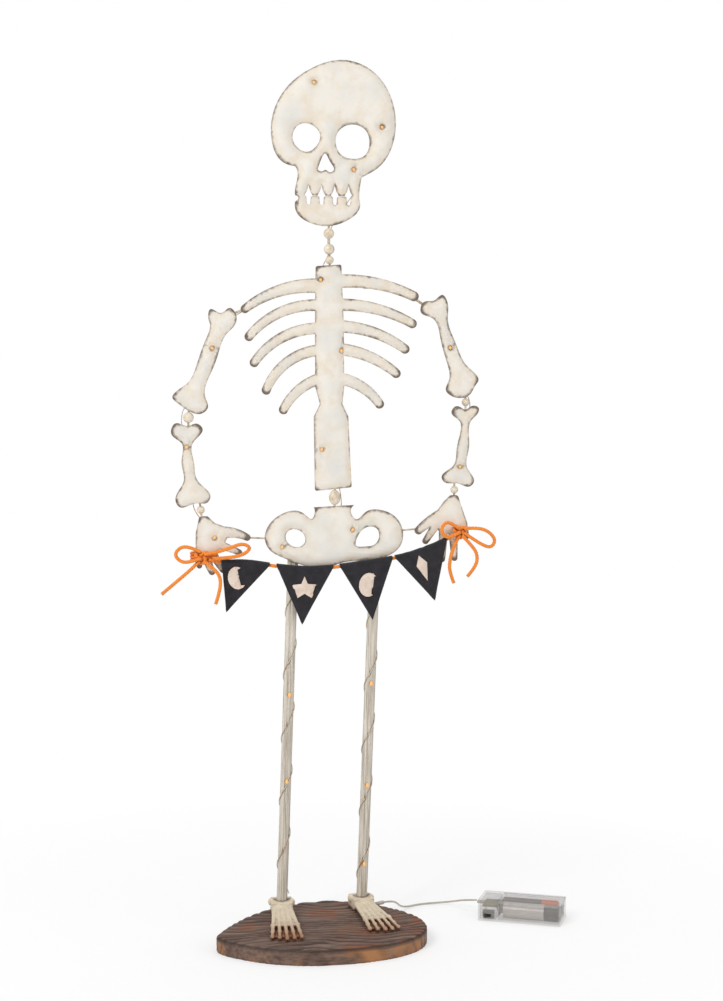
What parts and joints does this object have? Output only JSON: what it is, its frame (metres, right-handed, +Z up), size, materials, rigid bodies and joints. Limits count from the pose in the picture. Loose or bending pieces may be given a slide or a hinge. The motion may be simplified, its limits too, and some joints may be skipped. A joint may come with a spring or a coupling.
{
  "type": "halloween skeleton figure",
  "caption": "Standing flat sheet-metal skeleton on a carved wooden slab, with micro lights, a pennant bunting tied between its hands and a battery box on a lead.",
  "frame": {"origin": "on the floor, at the middle of the slab underside", "axes": "+Z up, -Y the front that the face looks to, +X to the right as seen from the front"},
  "size_m": [0.3644, 0.1578, 0.7629],
  "materials": {
    "aged_white_paint": "distressed matt paint, dark worn edges",
    "bead_metal": "antique ivory paint rubbed over metal",
    "black_felt": "pressed felt",
    "board_laminate": "glass laminate",
    "box_plastic": "translucent moulded",
    "carved_foot": "carved, painted antique white, stained toes",
    "cell_jacket": "printed foil jacket",
    "contact_metal": "nickel plated",
    "cream_felt": "pressed felt",
    "glue_tab": "hot-melt glue",
    "lead_sleeve": "soft PVC",
    "led_epoxy": "clear warm dome, lit",
    "leg_rod": "grooved rod, antique white wash",
    "light_wire": "lacquered micro wire",
    "orange_twine": "twisted jute twine",
    "pin_steel": "rubbed paint over wire",
    "screw_steel": "zinc plated",
    "slab_wood": "carved, stained and brushed",
    "switch_black": "moulded"
  },
  "bodies": {
    "figure": {"base_screws": "screw_steel", "base_slab": "slab_wood", "base_washers": "screw_steel", "battery_case": "box_plastic", "battery_cells": "cell_jacket", "bunting_string": "orange_twine", "circuit_board": "board_laminate", "contact_plates": "contact_metal", "contact_springs": "contact_metal", "elbow_beads": "bead_metal", "elbow_pins": "pin_steel", "hip_links": "pin_steel", "lead_cord": "lead_sleeve", "left_arm_wire": "light_wire", "left_bow_loops": "orange_twine", "left_bow_tails": "orange_twine", "left_foot": "carved_foot", "left_forearm": "aged_white_paint", "left_hand": "aged_white_paint", "left_knot": "orange_twine", "left_leg": "leg_rod", "left_leg_wire": "light_wire", "left_upper_arm": "aged_white_paint", "leg_leds": "led_epoxy", "neck_beads": "bead_metal", "pelvis_plate": "aged_white_paint", "pennant_1": "black_felt", "pennant_2": "black_felt", "pennant_3": "black_felt", "pennant_4": "black_felt", "pennant_motif_1": "cream_felt", "pennant_motif_2": "cream_felt", "pennant_motif_3": "cream_felt", "pennant_motif_4": "cream_felt", "plate_leds": "led_epoxy", "rib_plate": "aged_white_paint", "right_arm_wire": "light_wire", "right_bow_loops": "orange_twine", "right_bow_tails": "orange_twine", "right_foot": "carved_foot", "right_forearm": "aged_white_paint", "right_hand": "aged_white_paint", "right_knot": "orange_twine", "right_leg": "leg_rod", "right_leg_wire": "light_wire", "right_upper_arm": "aged_white_paint", "shoulder_links": "pin_steel", "skull_plate": "aged_white_paint", "spine_pins": "pin_steel", "splice_sleeve": "lead_sleeve", "strain_relief": "lead_sleeve", "switch_body": "switch_black", "torso_wire": "light_wire", "waist_bead": "bead_metal", "wire_tabs": "glue_tab", "wrist_beads": "bead_metal", "wrist_pins": "pin_steel"},
    "box_cover": {"battery_cover": "box_plastic"},
    "switch": {"switch_knob": "switch_black"}
  },
  "joints": [
    {"name": "cover_slide", "type": "slide", "parent": "figure", "child": "box_cover", "axis": [0.8988, -0.4384, 0], "range_m": [0, 0.058]},
    {"name": "switch_slide", "type": "slide", "parent": "figure", "child": "switch", "axis": [0.8988, -0.4384, 0], "range_m": [0, 0.003]}
  ]
}
